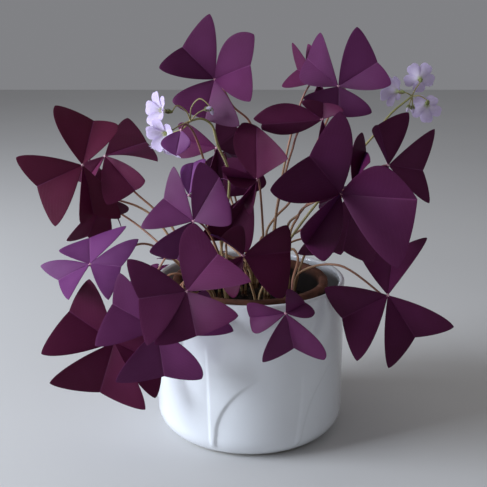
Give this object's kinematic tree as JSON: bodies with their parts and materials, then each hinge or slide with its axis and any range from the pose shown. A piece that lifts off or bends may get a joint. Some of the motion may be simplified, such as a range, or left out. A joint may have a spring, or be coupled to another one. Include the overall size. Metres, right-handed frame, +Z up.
{
  "type": "potted purple shamrock",
  "caption": "Potted plant with notched triangular purple leaflets on thin stalks and small lilac flowers, in a clay pot inside a white cachepot.",
  "frame": {"origin": "centre of the cachepot's flat foot, on the surface it stands on", "axes": "+Z up, -Y towards the plant's front, +X to the right seen from the front"},
  "size_m": [0.3107, 0.2515, 0.3151],
  "materials": {
    "glaze": "gloss",
    "terracotta": "matte",
    "soil": "matte",
    "leaf": "satin",
    "petiole": "satin",
    "stem": "satin",
    "petal": "matte"
  },
  "bodies": {
    "root": {"cachepot": "glaze", "terracotta_pot": "terracotta", "soil": "soil", "leaf_high_left": "leaf", "leaf_high_right": "leaf", "leaf_high_middle": "leaf", "leaf_middle_right": "leaf", "leaf_big_right": "leaf", "leaf_big_far_right": "leaf", "leaf_low_right": "leaf", "leaf_far_right": "leaf", "leaf_centre_high": "leaf", "leaf_centre_left": "leaf", "leaf_centre_low": "leaf", "leaf_mouth": "leaf", "leaf_pot_front": "leaf", "leaf_mauve_left": "leaf", "leaf_far_left": "leaf", "leaf_left_behind": "leaf", "leaf_left_low": "leaf", "leaf_low_left": "leaf", "leaf_front_left": "leaf", "leaf_front": "leaf", "leaf_middle_left": "leaf", "leaf_young": "leaf", "leaf_young_low": "leaf", "leaf_centre_back": "leaf", "leaf_back_right": "leaf", "leaf_back_left": "leaf", "leaf_back_high": "leaf", "leaf_back_middle": "leaf", "leaf_back_low_left": "leaf", "leaf_back_low": "leaf", "stalks_front_left": "petiole", "stalks_left": "petiole", "stalks_centre_left": "petiole", "stalks_centre": "petiole", "stalks_front": "petiole", "stalks_right": "petiole", "stalks_far_right": "petiole", "stalks_centre_right": "petiole", "stalks_back": "petiole", "flower_stalk_left": "stem", "bloom_left_1": "petal", "bloom_left_2": "petal", "bloom_left_3": "petal", "flower_stalk_right": "stem", "bloom_right_1": "petal", "bloom_right_2": "petal", "bloom_right_3": "petal"}
  },
  "joints": []
}
